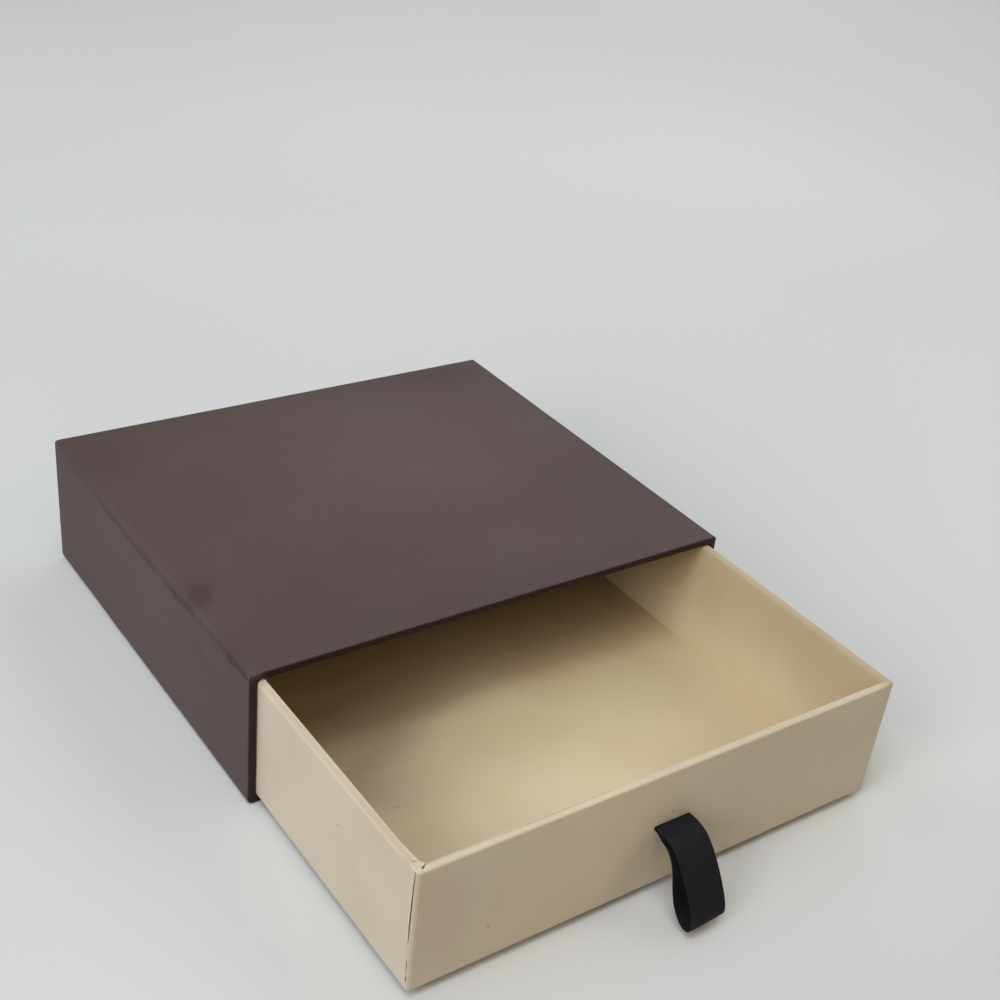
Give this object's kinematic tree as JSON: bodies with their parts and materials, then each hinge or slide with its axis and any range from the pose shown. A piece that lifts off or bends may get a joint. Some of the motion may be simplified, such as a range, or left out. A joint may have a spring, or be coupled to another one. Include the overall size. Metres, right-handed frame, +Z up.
{
  "type": "wallet box",
  "caption": "Flat gift box for a wallet: a paper-covered board sleeve, closed at the back, with a sliding tray and a ribbon loop to pull it out.",
  "frame": {"origin": "middle of the sleeve's underside, on the surface that the box stands on", "axes": "+Z up, X across the sleeve's mouth, -Y out of the mouth, the way the tray slides"},
  "size_m": [0.146, 0.2145, 0.04],
  "materials": {
    "greyboard": "raw grey board",
    "stay_tape": "gummed kraft paper",
    "brown_paper": "matt dark brown paper with a fine grain",
    "cream_paper": "matt cream paper with a fine grain",
    "black_satin": "black satin ribbon"
  },
  "bodies": {
    "sleeve": {"sleeve_top_board": "greyboard", "sleeve_base_board": "greyboard", "sleeve_left_board": "greyboard", "sleeve_right_board": "greyboard", "sleeve_back_board": "greyboard", "sleeve_stay_top_left": "stay_tape", "sleeve_stay_top_right": "stay_tape", "sleeve_stay_base_left": "stay_tape", "sleeve_stay_base_right": "stay_tape", "sleeve_cover": "brown_paper", "sleeve_base_sheet": "brown_paper", "sleeve_back_sheet": "brown_paper", "sleeve_lining": "brown_paper"},
    "tray": {"tray_base_board": "greyboard", "tray_front_board": "greyboard", "tray_back_board": "greyboard", "tray_left_board": "greyboard", "tray_right_board": "greyboard", "tray_stay_front_left": "stay_tape", "tray_stay_front_right": "stay_tape", "tray_stay_back_left": "stay_tape", "tray_stay_back_right": "stay_tape", "tray_cover": "cream_paper", "tray_wall_lining": "cream_paper", "tray_floor_lining": "cream_paper", "ribbon_tails": "black_satin"},
    "pull_loop": {"pull_loop": "black_satin"}
  },
  "joints": [
    {"name": "tray_slide", "type": "slide", "parent": "sleeve", "child": "tray", "axis": [0, -1, 0], "range_m": [-0.0715, 0.055]},
    {"name": "pull_loop_swing", "type": "hinge", "parent": "tray", "child": "pull_loop", "pos_m": [0, -0.1354, 0.02125], "axis": [-1, 0, 0], "range_deg": [0, 50]}
  ]
}
